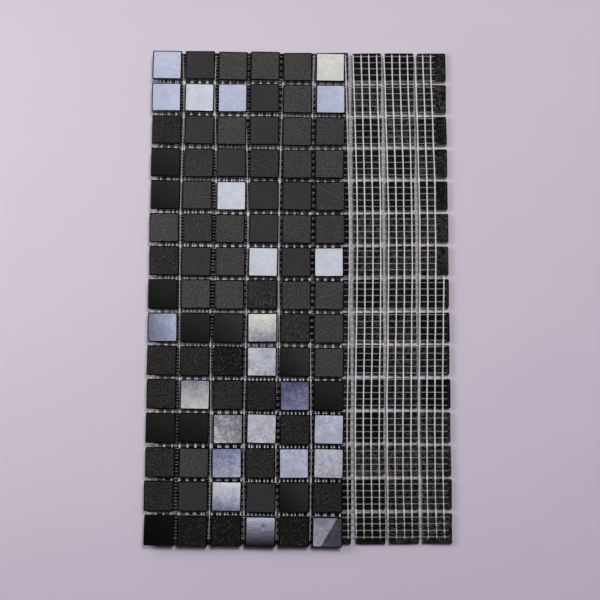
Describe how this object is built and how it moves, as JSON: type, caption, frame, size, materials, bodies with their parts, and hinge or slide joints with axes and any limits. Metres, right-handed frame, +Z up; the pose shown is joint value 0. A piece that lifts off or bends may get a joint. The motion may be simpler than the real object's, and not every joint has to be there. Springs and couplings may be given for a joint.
{
  "type": "mosaic tile sheet",
  "caption": "Mesh-backed mosaic sheet of small square glass tiles in black, charcoal and pearl, folded net to net so that one part lies face up on the other.",
  "frame": {"origin": "middle of the folded sheet's footprint, on the floor that the lower tiles' faces rest on", "axes": "+X across the columns, away from the fold; +Y up the rows; +Z up, through the two layers"},
  "size_m": [0.2006, 0.328, 0.009],
  "materials": {
    "granular_glass": "matte granular charcoal glass",
    "dark_granular_glass": "dark granular glass with warm specks",
    "satin_glass": "smooth satin charcoal glass",
    "gloss_glass": "glossy black glass",
    "pearl_glass": "silver and pale blue pearl coat on black glass",
    "violet_glass": "darker violet-blue pearl coat on black glass",
    "net_fibre": "off-white woven glass fibre"
  },
  "bodies": {
    "root": {"lower_granular_tiles": "granular_glass", "lower_dark_granular_tiles": "dark_granular_glass", "lower_satin_tiles": "satin_glass", "lower_gloss_tiles": "gloss_glass", "lower_pearl_tiles": "pearl_glass", "lower_violet_tiles": "violet_glass", "upper_granular_tiles": "granular_glass", "upper_dark_granular_tiles": "dark_granular_glass", "upper_satin_tiles": "satin_glass", "upper_gloss_tiles": "gloss_glass", "upper_pearl_tiles": "pearl_glass", "upper_violet_tiles": "violet_glass", "lower_net_warps": "net_fibre", "upper_net_warps": "net_fibre", "net_wefts": "net_fibre"}
  },
  "joints": []
}
